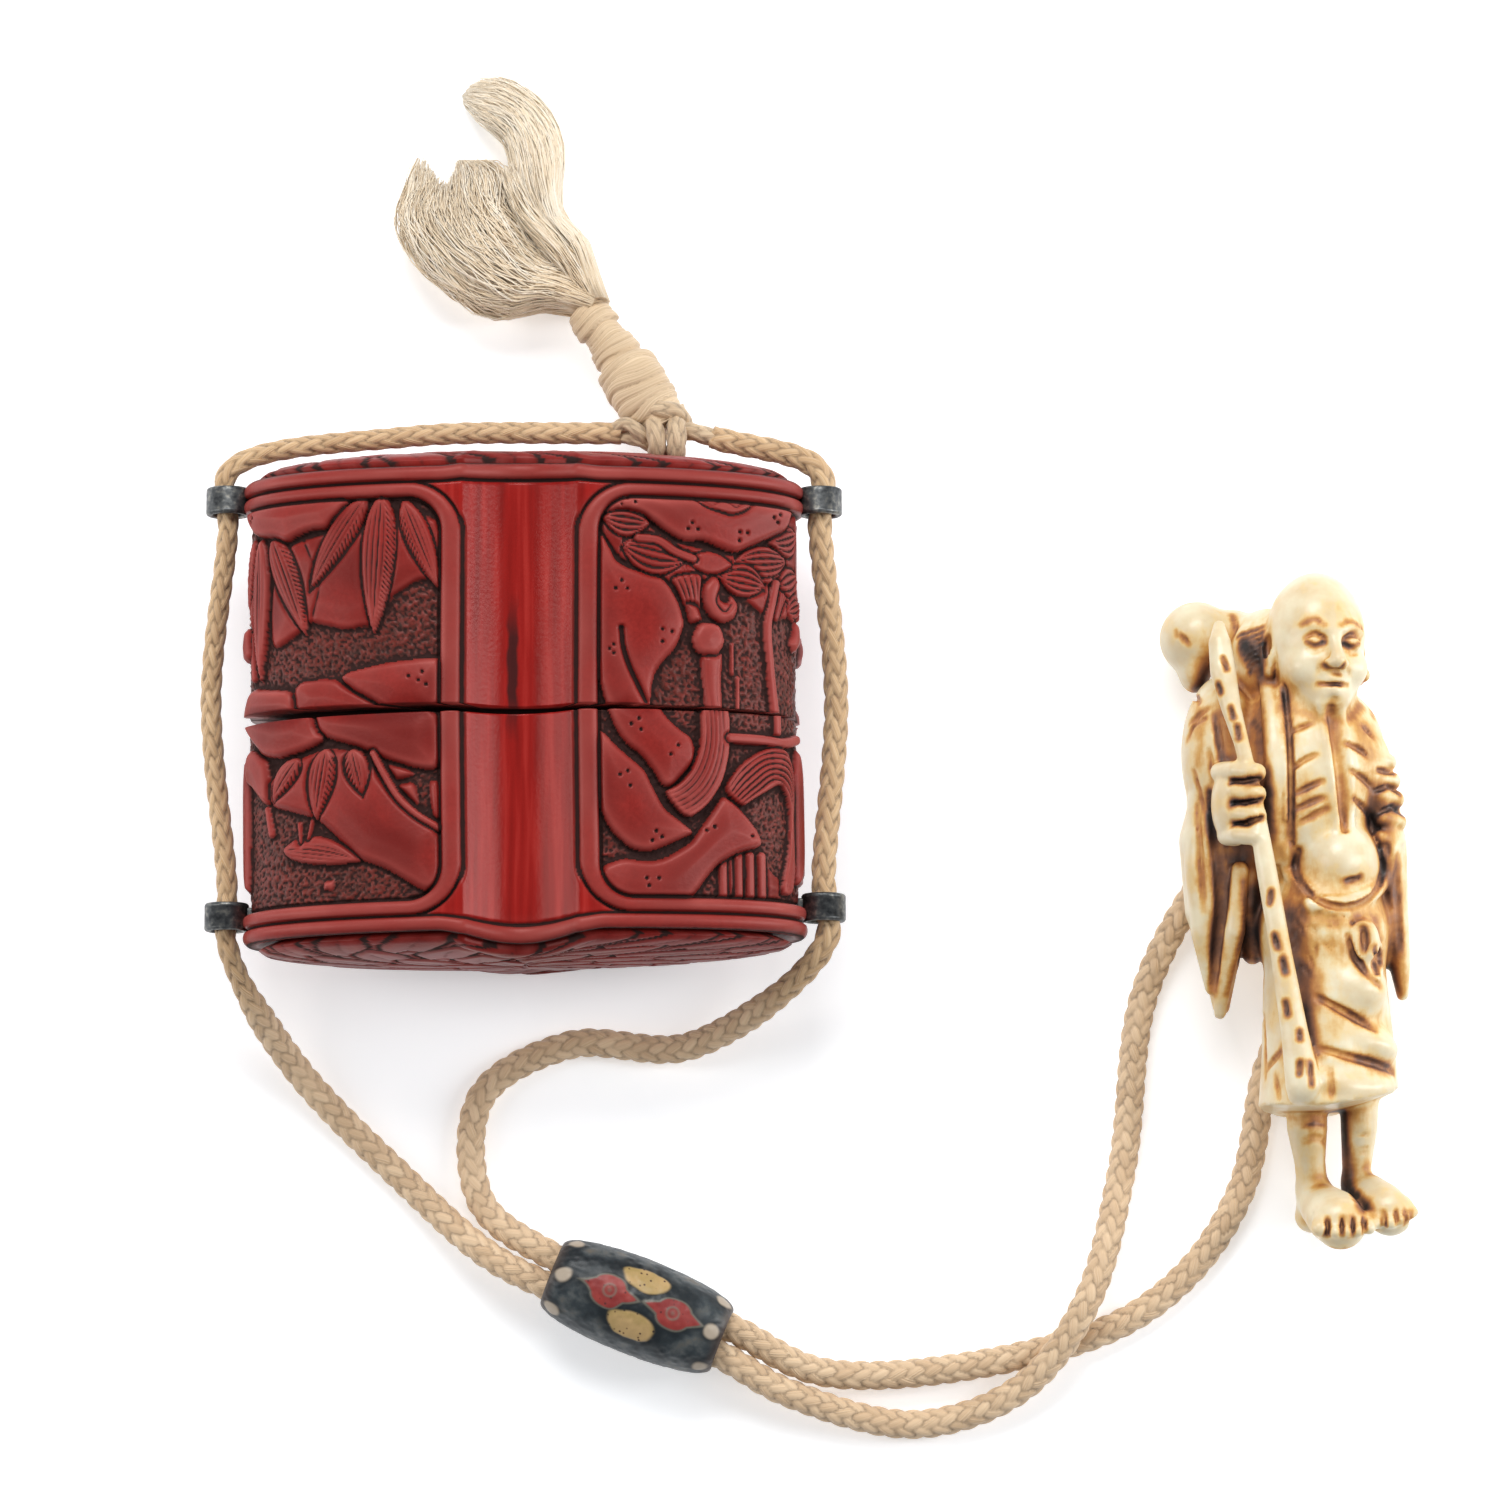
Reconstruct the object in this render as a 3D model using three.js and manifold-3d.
// An inro case of carved red lacquer with its braided cord, sliding bead and carved toggle, laid flat.
// Millimetres, +Z up. The case and lid meet on a plane across Y, and a carved front faces up.
import * as THREE from 'three';
import { ParametricGeometry } from 'three/addons/geometries/ParametricGeometry.js';
import { mergeVertices } from 'three/addons/utils/BufferGeometryUtils.js';
import Module from 'manifold-3d';

const wasm = await Module();
wasm.setup();

// Section of the inro, a flattened oval with a trough down the middle of each face
const HALF_WIDTH = 27.1;
const HALF_DEPTH = 12.2;
const OVAL_POWER = 2.2;
const TROUGH_HALF = 5.8;
const TROUGH_DEPTH = 2.9;

// Carving: heights above the sunk ground, and the bands that frame each panel
const MOULDING = 0.9;
const BEAD_WIDTH = 2.6;
const RIM_BAND = 3.0;
const RIM_GROOVE = 0.35;
const CORNER = 3.6;
const HIGH_RELIEF = 0.9;
const LOW_RELIEF = 0.6;
const RIM_BOW = 0.8;

// Lengths along Y, and how the two halves meet
const CASE_LENGTH = 23.6;
const LID_LENGTH = 21.5;
const CASE_DOME = 2.7;
const LID_DOME = 2.2;
const MOUTH_Y = -0.9;
const SEAM_GAP = 0.3;
const LID_TURN = THREE.MathUtils.degToRad(0.9);

// Hollow inside
const CAVITY_HALF_WIDTH = 22.5;
const CAVITY_HALF_DEPTH = 6.2;
const CAVITY_POWER = 2.5;
const END_WALL = 1.5;
const RISER_HEIGHT = 6.0;
const RISER_WALL = 1.1;
const RISER_ROOT = 1.0;
const FIT = 0.3;

// Cord and the metal loops that it runs through
const CORD_DIAMETER = 2.4;
const CORD_STEPS = 72;
const LOOP_WALL = 0.5;
const LOOP_CLEARANCE = 0.48;
const LOOP_HEIGHT = 2.8;
const LOOP_REACH = 2.5;
const NECK_THICKNESS = 1.4;
const NECK_HEIGHT = 1.8;
const NECK_DEPTH = 2.2;
const CASE_LOOP_DROP = 1.5;
const LID_LOOP_DROP = 3.0;

// Sliding bead
const BEAD_LENGTH = 18.3;
const BEAD_DIAMETER = 9.8;
const BEAD_END_DIAMETER = 8.3;
const BEAD_EDGE = 0.9;
const BEAD_SIDES = 14;
const BEAD_TURN = THREE.MathUtils.degToRad(-21.5);
const BEAD_AT = [11.35, -58.65];
const STRAND_GAP = 0.5;

// Toggle: a standing figure laid on its back, its parts given as shares of its height
const FIGURE_HEIGHT = 66.8;
const FIGURE_AT = [79.1, -52.4];

// Edges shorter than this are left out of the finished solids.
const FINEST_EDGE = 0.06;

const redLacquer = () => finish(0x8f2a25, 0.42, 0.0);
const darkMetal = () => finish(0x3d4043, 0.45, 0.85);
const silk = () => finish(0xc9aa80, 0.8, 0.0);
const floss = () => finish(0xe6dccb, 0.9, 0.0);
const inlaidBead = () => finish(0x1d242b, 0.3, 0.0);
const ivory = () => finish(0xe3cf9f, 0.4, 0.0);

function finish(color, roughness, metalness) {
  return new THREE.MeshStandardMaterial({ color, roughness, metalness });
}

// Solids and meshes

// A closed geometry as a solid: shared corners are merged and triangles that a pole flattened are dropped.
function solid(geometry) {
  const bare = geometry.clone();
  bare.deleteAttribute('normal');
  bare.deleteAttribute('uv');
  const merged = mergeVertices(bare, 1e-4);
  const at = merged.attributes.position;
  const corners = [];
  let volume = 0;
  const [a, b, c] = [new THREE.Vector3(), new THREE.Vector3(), new THREE.Vector3()];
  for (let i = 0; i < merged.index.count; i += 3) {
    const [p, q, r] = [0, 1, 2].map((k) => merged.index.getX(i + k));
    if (p === q || q === r || r === p) continue;
    corners.push(p, q, r);
    b.fromBufferAttribute(at, q).cross(c.fromBufferAttribute(at, r));
    volume += a.fromBufferAttribute(at, p).dot(b);
  }
  if (volume < 0) corners.reverse();
  return new wasm.Manifold(new wasm.Mesh({
    numProp: 3,
    vertProperties: Float32Array.from(at.array),
    triVerts: Uint32Array.from(corners),
  }));
}

// A joined or cut solid as a geometry, without the hair-thin triangles that close cuts leave.
function geometryOf(body) {
  const mesh = body.simplify(FINEST_EDGE).getMesh();
  const geometry = new THREE.BufferGeometry();
  geometry.setAttribute('position', new THREE.BufferAttribute(mesh.vertProperties, 3));
  geometry.setIndex(new THREE.BufferAttribute(mesh.triVerts, 1));
  return geometry;
}

function piece(name, geometry, material) {
  const mesh = new THREE.Mesh(geometry, material);
  mesh.name = name;
  return mesh;
}

const joined = (bodies) => bodies.reduce((sum, body) => sum.add(body));

const cutBy = (body, tools) => tools.reduce((left, tool) => left.subtract(tool), body);

// A closed skin through `rows` rings of `count` points each; its two ends close on the middle of their rings.
function skin(rows, count, pointAt) {
  const middle = (row) => {
    const sum = new THREE.Vector3();
    for (let i = 0; i < count; i++) sum.add(pointAt(row, i));
    return sum.divideScalar(count);
  };
  const ends = [middle(0), middle(rows - 1)];
  return new ParametricGeometry((u, v, target) => {
    const row = Math.round(v * (rows + 1));
    const i = Math.round(u * count) % count;
    if (row === 0) target.copy(ends[0]);
    else if (row === rows + 1) target.copy(ends[1]);
    else target.copy(pointAt(row - 1, i));
  }, count, rows + 1);
}

// Extrudes an outline of [x, y] points along Z, from z = from to z = to.
function prism(outline, from, to) {
  const shape = new THREE.Shape(outline.map(([x, y]) => new THREE.Vector2(x, y)));
  const geometry = new THREE.ExtrudeGeometry(shape, { depth: to - from, bevelEnabled: false });
  return geometry.translate(0, 0, from);
}

// The inro's section, in X and Z about its middle

// Quarter of the oval from the narrow side to the middle of the face, first by angle and then by place.
function quarterSection() {
  const beadEdge = TROUGH_HALF + BEAD_WIDTH;
  const edgeAngle = Math.acos((beadEdge / HALF_WIDTH) ** (OVAL_POWER / 2));
  const steps = 5;
  const places = [];
  for (let i = 0; i <= steps; i++) {
    places.push(HALF_WIDTH * Math.cos(edgeAngle * i / steps) ** (2 / OVAL_POWER));
  }
  places.push(TROUGH_HALF);
  for (const share of [0.7, 0.35, 0]) places.push(TROUGH_HALF * share);
  return places.map((x) => {
    const height = HALF_DEPTH * Math.max(0, 1 - (x / HALF_WIDTH) ** OVAL_POWER) ** (1 / OVAL_POWER);
    const inTrough = Math.max(0, 1 - (x / TROUGH_HALF) ** 2);
    return { x, z: height - TROUGH_DEPTH * inTrough, raised: x >= TROUGH_HALF ? 1 : 0 };
  });
}

// The whole section with an outward direction at each point; raised is 0 in the trough, free of mouldings.
function wholeSection() {
  const quarter = quarterSection();
  const half = [...quarter, ...quarter.slice(0, -1).reverse().map((p) => ({ ...p, x: -p.x }))];
  const ring = [...half, ...half.slice(1, -1).reverse().map((p) => ({ ...p, z: -p.z }))];
  return ring.map((p, i) => {
    const before = ring[(i + ring.length - 1) % ring.length];
    const after = ring[(i + 1) % ring.length];
    const out = new THREE.Vector2(after.z - before.z, before.x - after.x).normalize();
    return { ...p, out };
  });
}

const SECTION = wholeSection();
const CENTRE_Z = Math.max(...SECTION.map((p) => p.z + MOULDING * p.raised * p.out.y));

// Skin along Y through levels of { y, grow, share, bow }: the section pushed out by grow or shrunk to a share
// of itself, and bowed along Y in the trough.
function sectionSkin(levels) {
  return skin(levels.length, SECTION.length, (row, i) => {
    const { y, grow = 0, share = 1, bow = 0 } = levels[row];
    const p = SECTION[i];
    const push = grow * p.raised;
    const lift = bow * RIM_BOW * Math.max(0, 1 - (p.x / (TROUGH_HALF * 1.4)) ** 2);
    return new THREE.Vector3((p.x + push * p.out.x) * share, y + lift, (p.z + push * p.out.y) * share);
  });
}

// A plain oval block along Y, for the hollow and the riser.
function ovalBlock(halfWidth, halfDepth, from, to) {
  const around = 24;
  return skin(2, around, (row, i) => {
    const angle = 2 * Math.PI * i / around;
    const [c, s] = [Math.cos(angle), Math.sin(angle)];
    const x = halfWidth * Math.sign(c) * Math.abs(c) ** (2 / CAVITY_POWER);
    const z = halfDepth * Math.sign(s) * Math.abs(s) ** (2 / CAVITY_POWER);
    return new THREE.Vector3(x, row ? to : from, z);
  });
}

// Carved motifs. A point is [across, along] in hundredths of its panel: across runs from the moulding beside
// the trough to the narrow side, along from the mouth to the rim moulding.

const PANEL_FROM = TROUGH_HALF + BEAD_WIDTH;

const high = (outline) => ({ outline, height: HIGH_RELIEF });
const low = (outline) => ({ outline, height: LOW_RELIEF });

// A pointed leaf from base to tip, widest a third of the way along.
function leaf(base, tip, width) {
  const [dx, dy] = [tip[0] - base[0], tip[1] - base[1]];
  const length = Math.hypot(dx, dy);
  const side = [-dy / length * width / 2, dx / length * width / 2];
  const at = (along, across) => [
    base[0] + dx * along + side[0] * across,
    base[1] + dy * along + side[1] * across,
  ];
  return [base, at(0.3, 1), at(0.7, 0.75), tip, at(0.7, -0.75), at(0.3, -1)];
}

// A bent strip of even width along a few points.
function strip(points, width) {
  const edge = (sign) => points.map((p, i) => {
    const before = points[Math.max(0, i - 1)];
    const after = points[Math.min(points.length - 1, i + 1)];
    const [dx, dy] = [after[0] - before[0], after[1] - before[1]];
    const length = Math.hypot(dx, dy);
    return [p[0] - sign * dy / length * width / 2, p[1] + sign * dx / length * width / 2];
  });
  return [...edge(1), ...edge(-1).reverse()];
}

// A round or oval boss.
function boss(centre, across, along, corners = 10) {
  return Array.from({ length: corners }, (_, i) => {
    const angle = 2 * Math.PI * i / corners;
    return [centre[0] + across * Math.cos(angle), centre[1] + along * Math.sin(angle)];
  });
}

const BAMBOO_CASE = [
  low([[76, 77], [61, 83], [36, 86], [20, 80], [4, 60], [22, 50], [36, 37], [53, 37], [65, 40], [68, 56]]),
  high([[106, 104], [104, 91], [93, 85], [79, 81], [68, 86], [56, 89], [47, 99], [47, 104]]),
  high(leaf([98, 84], [109, 54], 8)),
  high(leaf([92, 83], [92, 13], 12)),
  high(leaf([86, 82], [66, 36], 13)),
  high(leaf([37, 99], [64, 56], 14)),
  high(leaf([26, 99], [32, 34], 16)),
  high(leaf([16, 99], [2, 56], 13)),
  high([[109, -2], [108, 6], [102, 12], [85, 11], [77, 9], [70, -2]]),
  low([[76, 11], [63, 15], [49, 14], [43, 6], [30, -2], [72, -2]]),
  high([[49, 18], [32, 19], [12, 20], [-3, 26], [-3, -2], [26, -2], [38, 9]]),
];

const BAMBOO_LID = [
  high([[107, -2], [107, 3], [102, 11], [86, 22], [72, 24], [59, 16], [66, -2]]),
  low([[62, -2], [-3, -2], [-3, 31], [15, 27], [33, 22], [53, 16]]),
  high([[88, 46], [65, 56], [47, 71], [25, 84], [5, 97], [-3, 93], [-3, 68], [15, 60], [27, 44], [34, 40],
    [69, 42]]),
  high([[108, 25], [102, 18], [90, 20], [84, 24], [86, 33], [83, 45], [92, 44], [97, 37], [106, 32]]),
  low(leaf([80, 24], [84, 45], 11)),
  low(leaf([58, 20], [59, 42], 12)),
  low(strip([[31, 23], [25, 36], [15, 51], [-3, 64]], 4)),
  high([[78, 71], [53, 72], [37, 80], [49, 86], [59, 86], [71, 81]]),
  low(boss([56, 93], 3.5, 3.5, 7)),
];

const PINE_CASE = [
  high([[-3, 93], [-3, 104], [100, 104], [96, 98], [90, 87], [79, 81], [66, 73], [49, 78], [36, 81], [23, 88],
    [14, 94]]),
  low([[-3, 90], [12, 93], [23, 87], [40, 79], [46, 70], [30, 66], [12, 72], [-3, 80]]),
  low([[67, 73], [79, 80], [91, 86], [106, 90], [106, 48], [92, 52], [80, 60], [68, 58]]),
  high(boss([54, 68], 11, 4, 8)),
  low([[34, 63], [50, 64], [60, 60], [52, 44], [46, 38], [42, 44]]),
  high(boss([60, 49], 8, 8, 9)),
  high(boss([52, 33], 7, 7, 9)),
  high([[48, 27], [61, 27], [61, -2], [48, -2]]),
  low(strip([[83, 61], [87, -2]], 4)),
  high([[-3, 77], [6, 66], [24, 61], [34, 55], [41, 42], [41, 33], [35, 28], [26, 16], [22, 2], [15, 16],
    [8, 35], [12, 14], [18, -2], [-3, -2]]),
];

const PINE_LID = [
  high([[1, -2], [28, -2], [36, 7], [46, 16], [47, 24], [40, 34], [30, 40], [23, 32], [15, 22], [5, 12]]),
  low([[-3, 13], [1, 15], [12, 25], [25, 37], [30, 53], [47, 63], [36, 72], [22, 76], [11, 73], [-3, 60]]),
  high([[-3, 84], [9, 81], [22, 80], [34, 76], [48, 62], [62, 45], [72, 48], [81, 67], [68, 76], [57, 80],
    [50, 93], [42, 104], [-3, 104]]),
  high([[49, -2], [64, -2], [64, 32], [58, 44], [44, 56], [30, 44], [40, 37], [48, 22]]),
  low(strip([[64, 18], [108, 14]], 5)),
  low([[64, 39], [78, 25], [97, 21], [107, 40], [104, 87], [97, 89], [98, 52], [92, 32]]),
  ...[60, 68, 76, 84].map((across) => low(strip([[across, 80], [across, 98]], 5))),
];

// The hidden face is plainer: it repeats every second rock and leaf, the other way round.
const everySecond = (motifs) => motifs.filter((_, i) => i % 2 === 1);
const BACK_CASE = everySecond(BAMBOO_CASE);
const BACK_LID = everySecond(BAMBOO_LID);

// Rocks that wrap the narrow sides: outlines in hundredths of the half depth and of the panel's length.
const SIDE_CASE = [
  [[-48, -2], [-40, 10], [0, 13], [42, 8], [50, -2]],
  [[-30, 28], [-8, 22], [30, 30], [34, 42], [0, 48], [-28, 40]],
];
const SIDE_LID = [
  [[-45, -2], [-40, 10], [5, 16], [45, 9], [50, -2]],
  [[-30, 24], [30, 20], [36, 84], [-34, 88]],
];

// A carved panel motif as a solid: its outline, cut from a skin that lies its height above the ground.
function carved(motif, side, face, panelLength, skins) {
  const width = HALF_WIDTH - PANEL_FROM;
  const outline = motif.outline.map(([across, along]) => [
    side * (PANEL_FROM + across / 100 * width),
    along / 100 * panelLength,
  ]);
  const reach = 2 * HALF_DEPTH;
  const block = face > 0 ? prism(outline, -MOULDING, reach) : prism(outline, -reach, MOULDING / 2);
  return solid(block).intersect(skins.get(motif.height));
}

function carvedSide(outline, side, panelLength, ground) {
  const points = outline.map(([deep, along]) => [deep / 100 * HALF_DEPTH, along / 100 * panelLength]);
  const block = prism(points, HALF_WIDTH / 2, 2 * HALF_WIDTH).rotateY(side * Math.PI / 2);
  return solid(block).intersect(ground);
}

// Petals on the domed end: a ring of broad overlapping ones about a plain middle.
function petals(rimY, dome) {
  const count = 10;
  const raise = 0.45;
  const skinAbove = solid(sectionSkin(domeLevels(rimY + raise, dome, rimY - 1)));
  return Array.from({ length: count }, (_, k) => {
    const around = 2 * Math.PI * (k + 0.5) / count;
    const half = Math.PI / count * 0.84;
    const at = (reach, turn) => {
      const angle = around + turn * half + 0.22 * reach;
      return [reach * HALF_WIDTH * Math.cos(angle), -reach * HALF_DEPTH * Math.sin(angle)];
    };
    const outline = [at(0.3, -0.8), at(0.72, -1), at(0.9, 0), at(0.72, 1), at(0.3, 0.8)];
    const block = prism(outline, rimY - 1, rimY + dome * 2).rotateX(-Math.PI / 2);
    return solid(block).intersect(skinAbove);
  });
}

function domeLevels(rimY, dome, from) {
  return [
    { y: from, share: 0.93 },
    { y: rimY + dome * 0.3, share: 0.93 },
    { y: rimY + dome * 0.8, share: 0.62 },
    { y: rimY + dome, share: 0.16 },
  ];
}

// One half of the inro from its mouth at y = 0: walls, mouldings, carving and domed end, hollowed out.
function half({ length, dome, faces, sides, boreWidth, boreDepth, loopDrop }) {
  const panelLength = length - RIM_BAND;
  const frameTop = length - RIM_BAND / 2;
  const ground = solid(sectionSkin([{ y: 0 }, { y: length - 0.5 }]));
  const shell = solid(sectionSkin([
    { y: 0, grow: MOULDING },
    { y: frameTop - RIM_GROOVE, grow: MOULDING, bow: 0.6 },
    { y: frameTop, grow: MOULDING / 3, bow: 0.8 },
    { y: frameTop + RIM_GROOVE, grow: MOULDING, bow: 1 },
    { y: length, grow: MOULDING * 0.7, bow: 1 },
    ...domeLevels(length, dome, length).slice(1),
  ]));
  const through = 2 * HALF_DEPTH;
  const windows = [1, -1].map((side) => solid(prism(windowOutline(side, panelLength), -through, through)));
  const skins = new Map([HIGH_RELIEF, LOW_RELIEF].map((height) => [
    height, solid(sectionSkin([{ y: 0, grow: height }, { y: length - 1, grow: height }])),
  ]));
  const carving = [
    ...faces.flatMap(({ face, left, right }) => [
      ...left.map((motif) => carved(motif, -1, face, panelLength, skins)),
      ...right.map((motif) => carved(motif, 1, face, panelLength, skins)),
    ]),
    ...sides.flatMap((outline) => [1, -1].map((side) => (
      carvedSide(outline, side, panelLength, skins.get(HIGH_RELIEF))
    ))),
  ];
  const body = joined([cutBy(shell, windows), ground, ...carving, ...petals(length, dome)]);
  const hollow = solid(ovalBlock(boreWidth, boreDepth, -1, length - END_WALL));
  const pockets = [1, -1].map((side) => loopPocket(side, length - loopDrop));
  return cutBy(body, [hollow, ...pockets]);
}

// The sunk panel seen from the front: open to the mouth and the narrow side, round in its inner corner.
function windowOutline(side, panelLength) {
  const outline = [[2 * HALF_WIDTH, -1], [2 * HALF_WIDTH, panelLength]];
  const steps = 5;
  for (let i = 0; i <= steps; i++) {
    const angle = Math.PI / 2 * i / steps;
    outline.push([
      PANEL_FROM + CORNER * (1 - Math.sin(angle)),
      panelLength - CORNER * (1 - Math.cos(angle)),
    ]);
  }
  outline.push([PANEL_FROM, -1]);
  return outline.map(([x, y]) => [side * x, y]);
}

// The metal loops: a ring round the cord with a neck let into the wall

const LOOP_INNER = CORD_DIAMETER / 2 + LOOP_CLEARANCE;
const LOOP_OUTER = LOOP_INNER + LOOP_WALL;
const LOOP_X = HALF_WIDTH + LOOP_REACH;

const boxAt = (x0, x1, height, thickness) => new THREE.BoxGeometry(x1 - x0, height, thickness)
  .translate((x0 + x1) / 2, 0, 0);

function cordLoop() {
  const corners = 5;
  const ring = new THREE.Shape().absarc(0, 0, LOOP_OUTER, 0, 2 * Math.PI);
  ring.holes.push(new THREE.Path().absarc(0, 0, LOOP_INNER, 0, 2 * Math.PI, true));
  const extrusion = { depth: LOOP_HEIGHT, curveSegments: corners, bevelEnabled: false };
  const band = new THREE.ExtrudeGeometry(ring, extrusion)
    .translate(0, 0, -LOOP_HEIGHT / 2)
    .rotateX(Math.PI / 2)
    .translate(LOOP_X, 0, 0);
  const neckEnd = LOOP_X - LOOP_INNER - LOOP_WALL / 2;
  const neck = boxAt(neckEnd - NECK_DEPTH, neckEnd, NECK_HEIGHT, NECK_THICKNESS);
  return solid(band).add(solid(neck));
}

// What is cut from the wall so that a loop sits in it with clearance all round.
function loopPocket(side, y) {
  const neckFrom = LOOP_X - LOOP_INNER - LOOP_WALL / 2 - NECK_DEPTH - FIT;
  const neck = boxAt(neckFrom, LOOP_X, NECK_HEIGHT + 2 * FIT, NECK_THICKNESS + 2 * FIT);
  const ringFrom = LOOP_X - LOOP_OUTER - FIT;
  const ring = boxAt(ringFrom, LOOP_X + LOOP_OUTER, LOOP_HEIGHT + 2 * FIT, 2 * (LOOP_OUTER + FIT));
  const pocket = solid(neck).add(solid(ring));
  const geometry = geometryOf(pocket);
  if (side < 0) geometry.rotateY(Math.PI);
  return solid(geometry.translate(0, y, 0));
}

function loopMesh(name, side, y) {
  const mesh = piece(name, geometryOf(cordLoop()), darkMetal());
  mesh.position.y = y;
  if (side < 0) mesh.rotation.y = Math.PI;
  return mesh;
}

// Cord: one braided silk cord from the knot down the left side, through the bead to the toggle and back.
// Its points are the middle line as it lies.
const CORD_ROUTE = [
  [9.6, 28.9, 9.6], [-12.0, 28.4, 10.1], [-29.5, 24.4, 12.9], [-29.6, 18.4, 12.9],
  [-31.2, 1.4, 11.8], [-29.3, -17.4, 12.9], [-29.2, -23.4, 12.6], [-23.1, -34.5, 3.2], [-12.0, -45.9, 1.3],
  [-3.6, -53.4, 3.7], [2.4, -56.6, 4.9], [19.1, -63.2, 4.9], [26.5, -67.2, 3.4], [39.3, -70.2, 1.3],
  [49.6, -66.7, 2.6], [56.0, -58.5, 4.6], [59.9, -44.8, 1.9], [62.2, -27.6, 1.3], [66.7, -18.1, 2.0],
  [71.0, -12.9, 3.8], [77.0, -12.7, 5.0], [80.2, -18.4, 5.0], [78.1, -26.6, 3.6], [74.6, -34.7, 1.6],
  [71.9, -46.8, 1.3], [66.0, -55.6, 1.3], [56.8, -61.4, 1.3], [30.6, -65.2, 2.9],
  [20.1, -60.5, 4.9], [3.4, -53.9, 4.9], [-4.4, -47.9, 2.0], [-4.4, -37.4, 1.3], [4.4, -32.2, 1.3],
  [16.6, -32.4, 2.6], [30.1, -23.0, 12.6], [29.9, -16.6, 12.9], [31.2, 1.4, 11.8], [29.6, 18.4, 12.9],
  [29.5, 24.4, 12.9], [18.9, 28.4, 9.9],
];

function cordTube(radius, clearance = 0) {
  const corners = 8;
  const points = CORD_ROUTE.map((p) => new THREE.Vector3(...p));
  const outline = Array.from({ length: corners }, (_, i) => {
    const angle = 2 * Math.PI * (i + 0.5) / corners;
    return new THREE.Vector2((radius + clearance) * Math.cos(angle), (radius + clearance) * Math.sin(angle));
  });
  return new THREE.ExtrudeGeometry(new THREE.Shape(outline), {
    steps: CORD_STEPS,
    extrudePath: new THREE.CatmullRomCurve3(points),
    bevelEnabled: false,
  });
}

// Bead, toggle, knot and tassel

// A barrel bead with a bore for the cord's two strands side by side.
function beadGeometry() {
  const bore = CORD_DIAMETER + STRAND_GAP;
  const profile = [[bore, -BEAD_LENGTH / 2], [BEAD_END_DIAMETER / 2 - BEAD_EDGE, -BEAD_LENGTH / 2]];
  const steps = 4;
  for (let i = 0; i <= steps; i++) {
    const along = (i / steps * 2 - 1) * (BEAD_LENGTH / 2 - BEAD_EDGE * 0.7);
    const swell = 1 - (2 * along / BEAD_LENGTH) ** 2;
    profile.push([(BEAD_END_DIAMETER + (BEAD_DIAMETER - BEAD_END_DIAMETER) * swell) / 2, along]);
  }
  profile.push([BEAD_END_DIAMETER / 2 - BEAD_EDGE, BEAD_LENGTH / 2], [bore, BEAD_LENGTH / 2], profile[0]);
  return new THREE.LatheGeometry(profile.map(([r, y]) => new THREE.Vector2(r, y)), BEAD_SIDES)
    .rotateY(Math.PI / BEAD_SIDES)
    .rotateZ(Math.PI / 2 + BEAD_TURN);
}

function ellipsoid([x, y, z], [rx, ry, rz], turn = 0) {
  const [around, down] = rx * ry > 50 ? [10, 8] : [7, 6];
  return new THREE.SphereGeometry(1, around, down).scale(rx, ry, rz).rotateZ(turn).translate(x, y, z);
}

// A closed tube through stations of [x, y, z, radius], its height in Z a share of its breadth.
function taperedTube(stations, height = 1, sides = 8) {
  const at = stations.map(([x, y, z]) => new THREE.Vector3(x, y, z));
  return skin(stations.length, sides, (row, i) => {
    const along = at[Math.min(row + 1, at.length - 1)].clone().sub(at[Math.max(row - 1, 0)]).normalize();
    const across = new THREE.Vector3(along.y, -along.x, 0).normalize();
    const up = across.clone().cross(along).multiplyScalar(height);
    const angle = 2 * Math.PI * i / sides;
    const radius = stations[row][3];
    return at[row].clone()
      .addScaledVector(across, radius * Math.cos(angle))
      .addScaledVector(up, radius * Math.sin(angle));
  });
}

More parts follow.
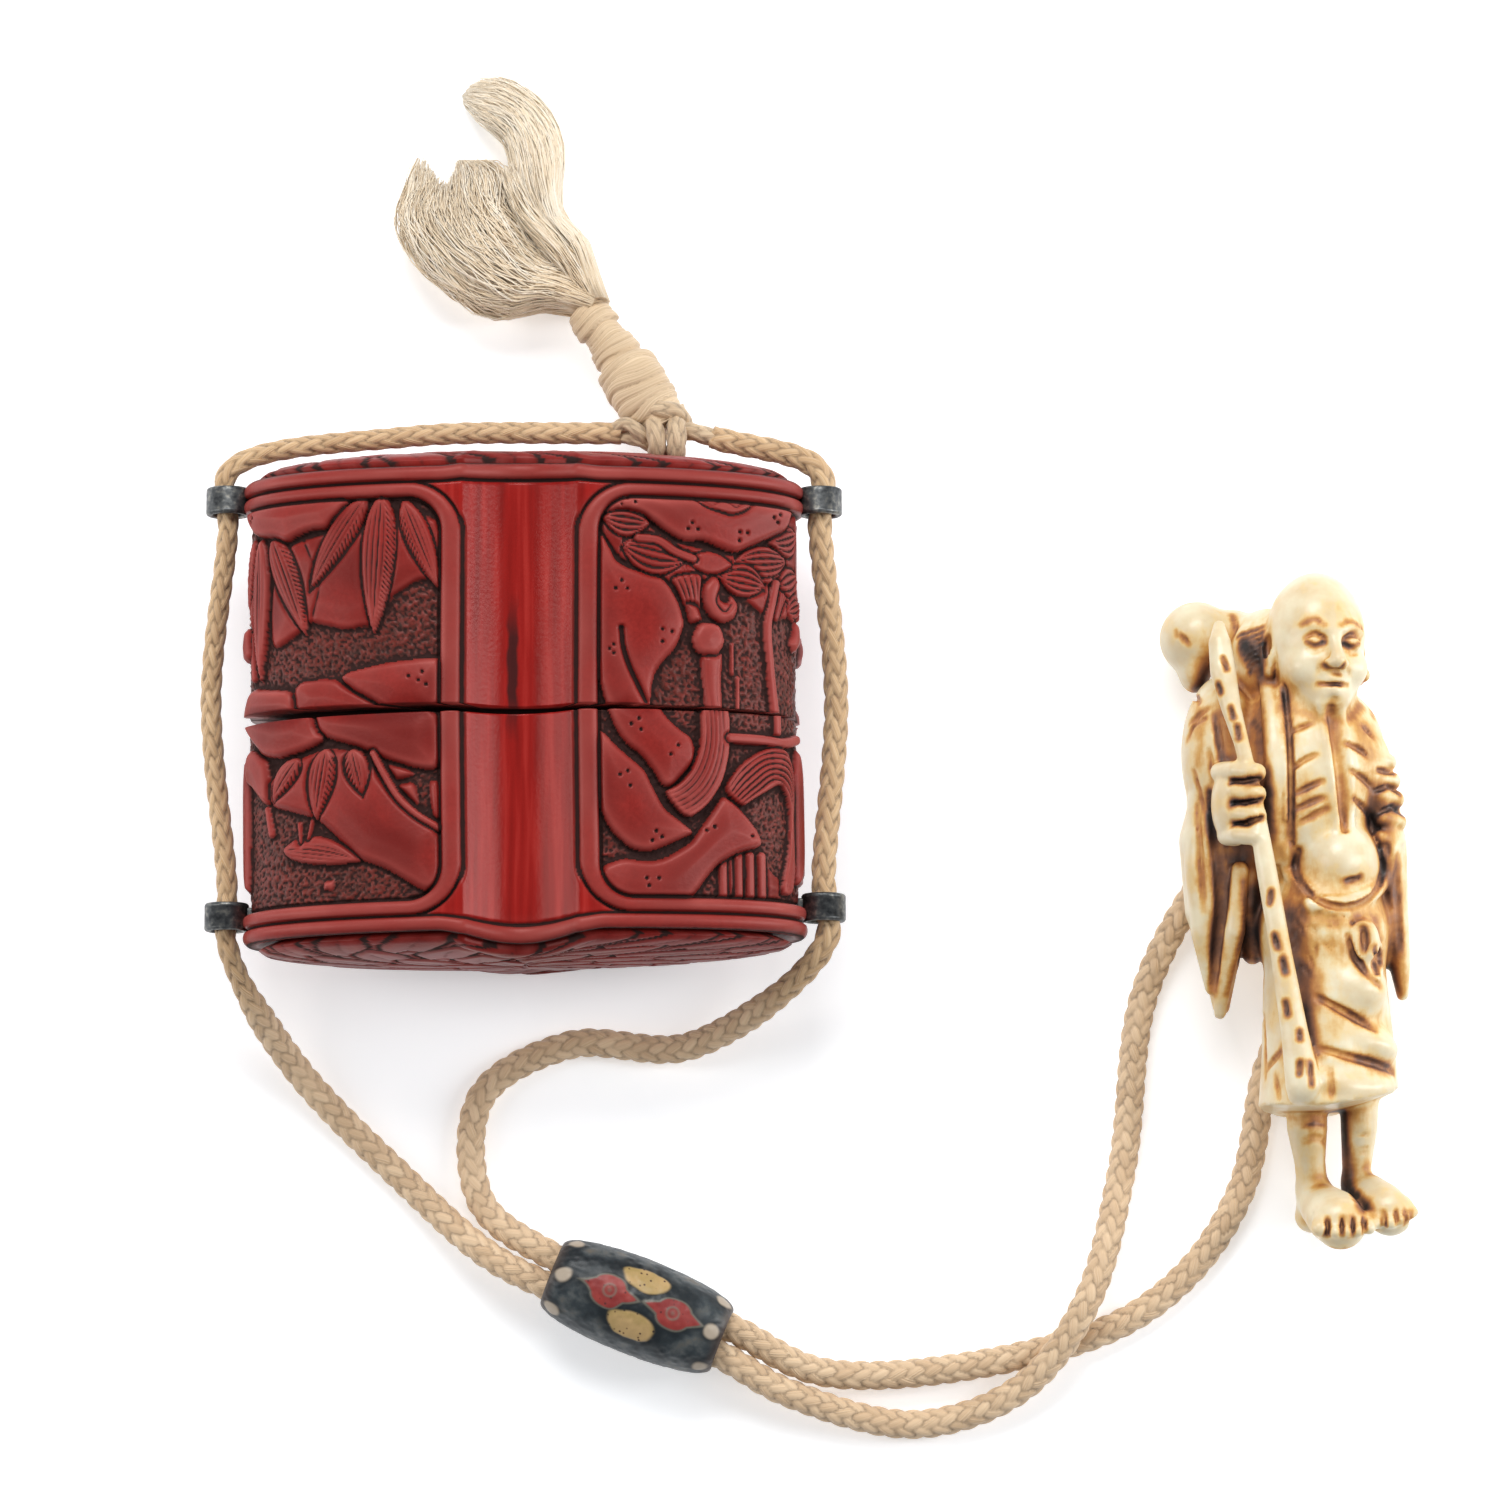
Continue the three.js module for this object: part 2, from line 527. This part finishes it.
// The figure's parts in hundredths of its height: x across, y up from the toes, z up from the table.
function figureParts() {
  return [
    ellipsoid([-0.2, 89, 19], [7.6, 11.1, 8.6]),
    ellipsoid([0.4, 87, 27.4], [1.5, 2.6, 1.8]),
    ellipsoid([-7.2, 87.5, 17.5], [1.3, 3.4, 2.4]),
    ellipsoid([7.2, 87.5, 17.5], [1.2, 3.2, 2.4]),
    ellipsoid([-6.6, 87, 12], [6.4, 8.4, 8]),
    ellipsoid([-17, 92, 8.4], [5.7, 5.3, 6.4]),
    ellipsoid([-12, 91, 8], [4.6, 4.4, 5.4]),
    ellipsoid([-17.6, 87.4, 8.4], [2.6, 4, 4.4]),
    ellipsoid([-1.6, 69, 15.4], [10.6, 17, 10.4]),
    ellipsoid([-13.6, 73, 13], [6.2, 12, 8.6]),
    taperedTube([[-13.6, 68, 13, 4.4], [-15.2, 60, 12.4, 5.2], [-15, 50, 11.6, 4.8], [-14.2, 42, 11, 3.2],
      [-14, 35, 10.4, 1.4]], 1.3),
    ellipsoid([-12, 64.5, 23], [4, 6.8, 4.6]),
    taperedTube([[-14.4, 91.5, 22.5, 1.0], [-14.4, 84, 24, 1.9], [-12, 75, 25.5, 1.4], [-10.2, 66, 26.5, 1.2],
      [-8.4, 54, 27, 1.5], [-6.4, 42, 27.4, 1.6], [-4.5, 30, 27.4, 2], [-3.2, 20.2, 27, 3.2]], 0.9, 8),
    taperedTube([[-8.4, 82, 25, 1.2], [-7.6, 66, 25.4, 1.3], [-7.2, 52, 25, 1.2]], 1, 6),
    ellipsoid([2.5, 56, 19.6], [7.7, 8, 10.4]),
    ellipsoid([1, 46, 15.4], [9.8, 10, 12]),
    taperedTube([[1.2, 48, 14.6, 8.6], [1.2, 38, 14.6, 9.2], [1.5, 20.4, 14.6, 10.4]], 1.28, 12),
    taperedTube([[2, 40, 25.4, 1.2], [6, 33, 26, 1.4], [9.6, 25, 22.5, 1.4]], 0.8, 6),
    taperedTube([[-1.5, 24, 11, 3.2], [-1.3, 14, 10.6, 2.8], [-0.9, 7, 9.4, 2.6], [-0.6, 4.4, 7.4, 2.6]],
      1.2),
    taperedTube([[7.2, 24, 10, 2.9], [6.5, 14, 9.6, 2.3], [6.1, 8.4, 8.6, 2.3], [6.1, 6.4, 7, 2.3]], 1.2),
    taperedTube([[-0.8, 9, 8, 2.6], [0.8, 5.6, 11.6, 3.6], [2, 3.7, 15.6, 4.2], [2.6, 2.6, 19, 3.2]], 0.62),
    taperedTube([[6.1, 10, 8, 2.3], [7.4, 7.4, 11, 3.2], [9, 5.4, 14.4, 3.8], [9.8, 4.4, 17.4, 2.9]], 0.62),
    taperedTube([[9, 70, 14, 3.2], [11, 59, 14, 2.7], [11.4, 48, 14, 2.4], [12.2, 38.6, 13, 1.3]], 2.2),
    ellipsoid([6.6, 43.4, 26], [2.4, 3.4, 2.2]),
  ];
}

// The toggle: its parts joined, set down on the table, and bored where the cord goes through and under it.
function toggle() {
  const unit = FIGURE_HEIGHT / 100;
  const whole = joined(figureParts().map(solid));
  const geometry = geometryOf(whole).scale(unit, unit, unit);
  geometry.computeBoundingBox();
  geometry.translate(FIGURE_AT[0], FIGURE_AT[1], -geometry.boundingBox.min.z);
  return geometryOf(solid(geometry).subtract(solid(cordTube(CORD_DIAMETER / 2, FIT))));
}

// The knot and its whipped stem, from the cord up to where the silk is left loose.
function knot() {
  const stem = taperedTube([[14.1, 28.9, 9, 2.2], [13.2, 30.8, 8.8, 2.8], [11.4, 33.6, 8, 3.2],
    [10.2, 35.8, 7, 3.2], [8.9, 38.0, 6, 2.6], [7.2, 40.6, 5, 2.5], [5.9, 42.4, 4.4, 2.1]]);
  const lobes = [-1.1, 1.1].map((x) => ellipsoid([14.2 + x, 28.8, 9.2], [1.6, 2.4, 2.3], 0.15 * x));
  return geometryOf(joined([stem, ...lobes].map(solid)));
}

// The loose silk: a broad lobe and a narrower one that curls up, both lying on the table.
function tasselGeometry() {
  const lobes = [
    taperedTube([[5.5, 43.4, 4.2, 2.0], [2.8, 46.4, 4.6, 3.2], [-1.6, 49.2, 4.6, 6.2], [-6.0, 51.6, 4.4, 7.2],
      [-10.0, 54.6, 3.2, 3.8], [-11.8, 58.6, 2.2, 0.7]], 0.58),
    taperedTube([[5.2, 44.2, 4.2, 1.9], [3.4, 49.8, 4.2, 3.6], [1.9, 56.0, 3.8, 3.4], [0.5, 61.4, 3.4, 3.1],
      [-2.7, 65.0, 3, 2.3], [-6.2, 65.5, 2.2, 0.9]], 0.7),
    ellipsoid([-3.6, 47.4, 4.2], [4.6, 4.4, 3.8]),
  ];
  const geometry = geometryOf(joined(lobes.map(solid)));
  geometry.computeBoundingBox();
  return geometry.translate(0, 0, -geometry.boundingBox.min.z);
}

// The object

function build() {
  const object = new THREE.Group();

  const caseGroup = new THREE.Group();
  caseGroup.position.set(0, MOUTH_Y, CENTRE_Z);
  const riserWidth = CAVITY_HALF_WIDTH + RISER_WALL;
  const riserDepth = CAVITY_HALF_DEPTH + RISER_WALL;
  const caseBody = half({
    length: CASE_LENGTH,
    dome: CASE_DOME,
    faces: [
      { face: 1, left: BAMBOO_CASE, right: PINE_CASE },
      { face: -1, left: BACK_CASE, right: BACK_CASE },
    ],
    sides: SIDE_CASE,
    boreWidth: CAVITY_HALF_WIDTH,
    boreDepth: CAVITY_HALF_DEPTH,
    loopDrop: CASE_LOOP_DROP,
  });
  const riser = solid(ovalBlock(riserWidth, riserDepth, -RISER_HEIGHT, RISER_ROOT))
    .subtract(solid(ovalBlock(CAVITY_HALF_WIDTH, CAVITY_HALF_DEPTH, -RISER_HEIGHT - 1, RISER_ROOT + 1)));
  caseGroup.add(piece('case', geometryOf(caseBody.add(riser)), redLacquer()));
  const caseLoopY = CASE_LENGTH - CASE_LOOP_DROP;
  caseGroup.add(loopMesh('cord_loop_case_left', -1, caseLoopY));
  caseGroup.add(loopMesh('cord_loop_case_right', 1, caseLoopY));
  object.add(caseGroup);

  // The lid is built like the case and turned over; it sits a little askew, closest at the right.
  const lidGroup = new THREE.Group();
  const askew = new THREE.Group();
  askew.position.set(HALF_WIDTH, MOUTH_Y - SEAM_GAP, CENTRE_Z);
  askew.rotation.z = LID_TURN;
  lidGroup.position.x = -HALF_WIDTH;
  lidGroup.rotation.x = Math.PI;
  const lidBody = half({
    length: LID_LENGTH,
    dome: LID_DOME,
    faces: [
      { face: -1, left: BAMBOO_LID, right: PINE_LID },
      { face: 1, left: BACK_LID, right: BACK_LID },
    ],
    sides: SIDE_LID,
    boreWidth: riserWidth + FIT,
    boreDepth: riserDepth + FIT,
    loopDrop: LID_LOOP_DROP,
  });
  lidGroup.add(piece('lid', geometryOf(lidBody), redLacquer()));
  const lidLoopY = LID_LENGTH - LID_LOOP_DROP;
  lidGroup.add(loopMesh('cord_loop_lid_left', -1, lidLoopY));
  lidGroup.add(loopMesh('cord_loop_lid_right', 1, lidLoopY));
  askew.add(lidGroup);
  object.add(askew);

  object.add(piece('cord', cordTube(CORD_DIAMETER / 2), silk()));
  const bead = piece('ojime_bead', beadGeometry(), inlaidBead());
  bead.position.set(...BEAD_AT, BEAD_DIAMETER / 2 * Math.cos(Math.PI / BEAD_SIDES));
  object.add(bead);
  object.add(piece('netsuke', toggle(), ivory()));
  object.add(piece('cord_knot', knot(), silk()));
  object.add(piece('tassel', tasselGeometry(), floss()));
  return object;
}

export default build();
